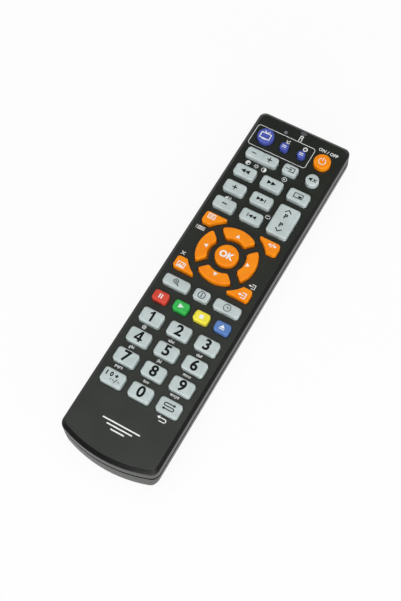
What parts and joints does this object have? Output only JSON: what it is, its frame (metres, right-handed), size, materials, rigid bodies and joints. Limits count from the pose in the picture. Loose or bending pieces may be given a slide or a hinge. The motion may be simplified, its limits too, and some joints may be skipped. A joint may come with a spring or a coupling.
{
  "type": "universal remote control",
  "caption": "Slim hand-held remote control: dark two-shell case, rubber keys that press in, a direction ring, coloured keys, tilting rockers and a sliding battery door.",
  "frame": {"origin": "on the surface that the back lies on, under the middle of the case", "axes": "+Y along the case towards its infrared end, +Z out of the key face, +X to the right"},
  "size_m": [0.0428, 0.1664, 0.02],
  "materials": {
    "case_black": "fine satin texture",
    "rubber_grey": "matt silicone",
    "rubber_orange": "matt silicone",
    "rubber_violet": "matt silicone",
    "rubber_red": "matt silicone",
    "rubber_green": "matt silicone",
    "rubber_yellow": "matt silicone",
    "rubber_blue": "matt silicone",
    "mat_rubber": "matt silicone",
    "board_green": "solder mask",
    "emitter_clear": "clear tinted resin",
    "chip_black": "moulded resin",
    "window_dark": "polished dark filter",
    "lamp_clear": "diffused resin",
    "cell_jacket": "printed metal jacket",
    "contact_steel": "nickel plated",
    "component_mix": "moulded resin",
    "screw_steel": "plain steel"
  },
  "bodies": {
    "case": {"upper_case": "case_black", "lower_case": "case_black", "keypad_mat": "mat_rubber", "circuit_board": "board_green", "infrared_emitter": "emitter_clear", "infrared_receiver": "chip_black", "infrared_window": "window_dark", "indicator_lamp": "lamp_clear", "battery_left": "cell_jacket", "battery_right": "cell_jacket", "negative_spring": "contact_steel", "positive_plate": "contact_steel", "bridge_contact": "contact_steel", "controller_chip": "chip_black", "board_components": "component_mix", "board_screws": "screw_steel"},
    "battery_door": {"battery_door": "case_black"},
    "key_tv": {"key_tv": "rubber_violet"},
    "key_satellite": {"key_satellite": "rubber_violet"},
    "key_disc": {"key_disc": "rubber_violet"},
    "key_power": {"key_power": "rubber_orange"},
    "rocker_picture": {"rocker_picture": "rubber_grey"},
    "key_source": {"key_source": "rubber_grey"},
    "key_mute": {"key_mute": "rubber_grey"},
    "rocker_channel": {"rocker_channel": "rubber_grey"},
    "key_ok": {"key_ok": "rubber_orange"},
    "key_zoom": {"key_zoom": "rubber_grey"},
    "key_info": {"key_info": "rubber_grey"},
    "key_timer": {"key_timer": "rubber_grey"},
    "key_rewind": {"key_rewind": "rubber_grey"},
    "key_forward": {"key_forward": "rubber_grey"},
    "key_preset": {"key_preset": "rubber_grey"},
    "key_volume_up": {"key_volume_up": "rubber_grey"},
    "key_next": {"key_next": "rubber_grey"},
    "key_volume_down": {"key_volume_down": "rubber_grey"},
    "key_previous": {"key_previous": "rubber_grey"},
    "key_menu": {"key_menu": "rubber_orange"},
    "key_sound": {"key_sound": "rubber_orange"},
    "key_picture": {"key_picture": "rubber_orange"},
    "key_exit": {"key_exit": "rubber_orange"},
    "key_up": {"key_up": "rubber_orange"},
    "key_left": {"key_left": "rubber_orange"},
    "key_down": {"key_down": "rubber_orange"},
    "key_right": {"key_right": "rubber_orange"},
    "key_red": {"key_red": "rubber_red"},
    "key_green": {"key_green": "rubber_green"},
    "key_yellow": {"key_yellow": "rubber_yellow"},
    "key_blue": {"key_blue": "rubber_blue"},
    "key_1": {"key_1": "rubber_grey"},
    "key_2": {"key_2": "rubber_grey"},
    "key_3": {"key_3": "rubber_grey"},
    "key_4": {"key_4": "rubber_grey"},
    "key_5": {"key_5": "rubber_grey"},
    "key_6": {"key_6": "rubber_grey"},
    "key_7": {"key_7": "rubber_grey"},
    "key_8": {"key_8": "rubber_grey"},
    "key_9": {"key_9": "rubber_grey"},
    "key_ten_plus": {"key_ten_plus": "rubber_grey"},
    "key_0": {"key_0": "rubber_grey"},
    "key_return": {"key_return": "rubber_grey"}
  },
  "joints": [
    {"name": "door_slide", "type": "slide", "parent": "case", "child": "battery_door", "axis": [0, -1, 0], "range_m": [0, 0.064]},
    {"name": "press_key_tv", "type": "slide", "parent": "case", "child": "key_tv", "axis": [0, 0, -1], "range_m": [0, 0.0008], "stiffness_N_per_m": 900},
    {"name": "press_key_satellite", "type": "slide", "parent": "case", "child": "key_satellite", "axis": [0, 0, -1], "range_m": [0, 0.0008], "stiffness_N_per_m": 900},
    {"name": "press_key_disc", "type": "slide", "parent": "case", "child": "key_disc", "axis": [0, 0, -1], "range_m": [0, 0.0008], "stiffness_N_per_m": 900},
    {"name": "press_key_power", "type": "slide", "parent": "case", "child": "key_power", "axis": [0, 0, -1], "range_m": [0, 0.0008], "stiffness_N_per_m": 900},
    {"name": "tilt_rocker_picture", "type": "hinge", "parent": "case", "child": "rocker_picture", "pos_m": [-0.0097, 0.06105, 0.01495], "axis": [0, 1, 0], "range_deg": [-4, 4], "stiffness_Nm_per_rad": 0.08},
    {"name": "press_key_source", "type": "slide", "parent": "case", "child": "key_source", "axis": [0, 0, -1], "range_m": [0, 0.0008], "stiffness_N_per_m": 900},
    {"name": "press_key_mute", "type": "slide", "parent": "case", "child": "key_mute", "axis": [0, 0, -1], "range_m": [0, 0.0008], "stiffness_N_per_m": 900},
    {"name": "tilt_rocker_channel", "type": "hinge", "parent": "case", "child": "rocker_channel", "pos_m": [0.0125, 0.03815, 0.01495], "axis": [1, 0, 0], "range_deg": [-4, 4], "stiffness_Nm_per_rad": 0.08},
    {"name": "press_key_ok", "type": "slide", "parent": "case", "child": "key_ok", "axis": [0, 0, -1], "range_m": [0, 0.0008], "stiffness_N_per_m": 900},
    {"name": "press_key_zoom", "type": "slide", "parent": "case", "child": "key_zoom", "axis": [0, 0, -1], "range_m": [0, 0.0008], "stiffness_N_per_m": 900},
    {"name": "press_key_info", "type": "slide", "parent": "case", "child": "key_info", "axis": [0, 0, -1], "range_m": [0, 0.0008], "stiffness_N_per_m": 900},
    {"name": "press_key_timer", "type": "slide", "parent": "case", "child": "key_timer", "axis": [0, 0, -1], "range_m": [0, 0.0008], "stiffness_N_per_m": 900},
    {"name": "press_key_rewind", "type": "slide", "parent": "case", "child": "key_rewind", "axis": [0, 0, -1], "range_m": [0, 0.0008], "stiffness_N_per_m": 900},
    {"name": "press_key_forward", "type": "slide", "parent": "case", "child": "key_forward", "axis": [0, 0, -1], "range_m": [0, 0.0008], "stiffness_N_per_m": 900},
    {"name": "press_key_preset", "type": "slide", "parent": "case", "child": "key_preset", "axis": [0, 0, -1], "range_m": [0, 0.0008], "stiffness_N_per_m": 900},
    {"name": "press_key_volume_up", "type": "slide", "parent": "case", "child": "key_volume_up", "axis": [0, 0, -1], "range_m": [0, 0.0008], "stiffness_N_per_m": 900},
    {"name": "press_key_next", "type": "slide", "parent": "case", "child": "key_next", "axis": [0, 0, -1], "range_m": [0, 0.0008], "stiffness_N_per_m": 900},
    {"name": "press_key_volume_down", "type": "slide", "parent": "case", "child": "key_volume_down", "axis": [0, 0, -1], "range_m": [0, 0.0008], "stiffness_N_per_m": 900},
    {"name": "press_key_previous", "type": "slide", "parent": "case", "child": "key_previous", "axis": [0, 0, -1], "range_m": [0, 0.0008], "stiffness_N_per_m": 900},
    {"name": "press_key_menu", "type": "slide", "parent": "case", "child": "key_menu", "axis": [0, 0, -1], "range_m": [0, 0.0008], "stiffness_N_per_m": 900},
    {"name": "press_key_sound", "type": "slide", "parent": "case", "child": "key_sound", "axis": [0, 0, -1], "range_m": [0, 0.0008], "stiffness_N_per_m": 900},
    {"name": "press_key_picture", "type": "slide", "parent": "case", "child": "key_picture", "axis": [0, 0, -1], "range_m": [0, 0.0008], "stiffness_N_per_m": 900},
    {"name": "press_key_exit", "type": "slide", "parent": "case", "child": "key_exit", "axis": [0, 0, -1], "range_m": [0, 0.0008], "stiffness_N_per_m": 900},
    {"name": "press_key_up", "type": "slide", "parent": "case", "child": "key_up", "axis": [0, 0, -1], "range_m": [0, 0.0008], "stiffness_N_per_m": 900},
    {"name": "press_key_left", "type": "slide", "parent": "case", "child": "key_left", "axis": [0, 0, -1], "range_m": [0, 0.0008], "stiffness_N_per_m": 900},
    {"name": "press_key_down", "type": "slide", "parent": "case", "child": "key_down", "axis": [0, 0, -1], "range_m": [0, 0.0008], "stiffness_N_per_m": 900},
    {"name": "press_key_right", "type": "slide", "parent": "case", "child": "key_right", "axis": [0, 0, -1], "range_m": [0, 0.0008], "stiffness_N_per_m": 900},
    {"name": "press_key_red", "type": "slide", "parent": "case", "child": "key_red", "axis": [0, 0, -1], "range_m": [0, 0.0008], "stiffness_N_per_m": 900},
    {"name": "press_key_green", "type": "slide", "parent": "case", "child": "key_green", "axis": [0, 0, -1], "range_m": [0, 0.0008], "stiffness_N_per_m": 900},
    {"name": "press_key_yellow", "type": "slide", "parent": "case", "child": "key_yellow", "axis": [0, 0, -1], "range_m": [0, 0.0008], "stiffness_N_per_m": 900},
    {"name": "press_key_blue", "type": "slide", "parent": "case", "child": "key_blue", "axis": [0, 0, -1], "range_m": [0, 0.0008], "stiffness_N_per_m": 900},
    {"name": "press_key_1", "type": "slide", "parent": "case", "child": "key_1", "axis": [0, 0, -1], "range_m": [0, 0.0008], "stiffness_N_per_m": 900},
    {"name": "press_key_2", "type": "slide", "parent": "case", "child": "key_2", "axis": [0, 0, -1], "range_m": [0, 0.0008], "stiffness_N_per_m": 900},
    {"name": "press_key_3", "type": "slide", "parent": "case", "child": "key_3", "axis": [0, 0, -1], "range_m": [0, 0.0008], "stiffness_N_per_m": 900},
    {"name": "press_key_4", "type": "slide", "parent": "case", "child": "key_4", "axis": [0, 0, -1], "range_m": [0, 0.0008], "stiffness_N_per_m": 900},
    {"name": "press_key_5", "type": "slide", "parent": "case", "child": "key_5", "axis": [0, 0, -1], "range_m": [0, 0.0008], "stiffness_N_per_m": 900},
    {"name": "press_key_6", "type": "slide", "parent": "case", "child": "key_6", "axis": [0, 0, -1], "range_m": [0, 0.0008], "stiffness_N_per_m": 900},
    {"name": "press_key_7", "type": "slide", "parent": "case", "child": "key_7", "axis": [0, 0, -1], "range_m": [0, 0.0008], "stiffness_N_per_m": 900},
    {"name": "press_key_8", "type": "slide", "parent": "case", "child": "key_8", "axis": [0, 0, -1], "range_m": [0, 0.0008], "stiffness_N_per_m": 900},
    {"name": "press_key_9", "type": "slide", "parent": "case", "child": "key_9", "axis": [0, 0, -1], "range_m": [0, 0.0008], "stiffness_N_per_m": 900},
    {"name": "press_key_ten_plus", "type": "slide", "parent": "case", "child": "key_ten_plus", "axis": [0, 0, -1], "range_m": [0, 0.0008], "stiffness_N_per_m": 900},
    {"name": "press_key_0", "type": "slide", "parent": "case", "child": "key_0", "axis": [0, 0, -1], "range_m": [0, 0.0008], "stiffness_N_per_m": 900},
    {"name": "press_key_return", "type": "slide", "parent": "case", "child": "key_return", "axis": [0, 0, -1], "range_m": [0, 0.0008], "stiffness_N_per_m": 900}
  ]
}
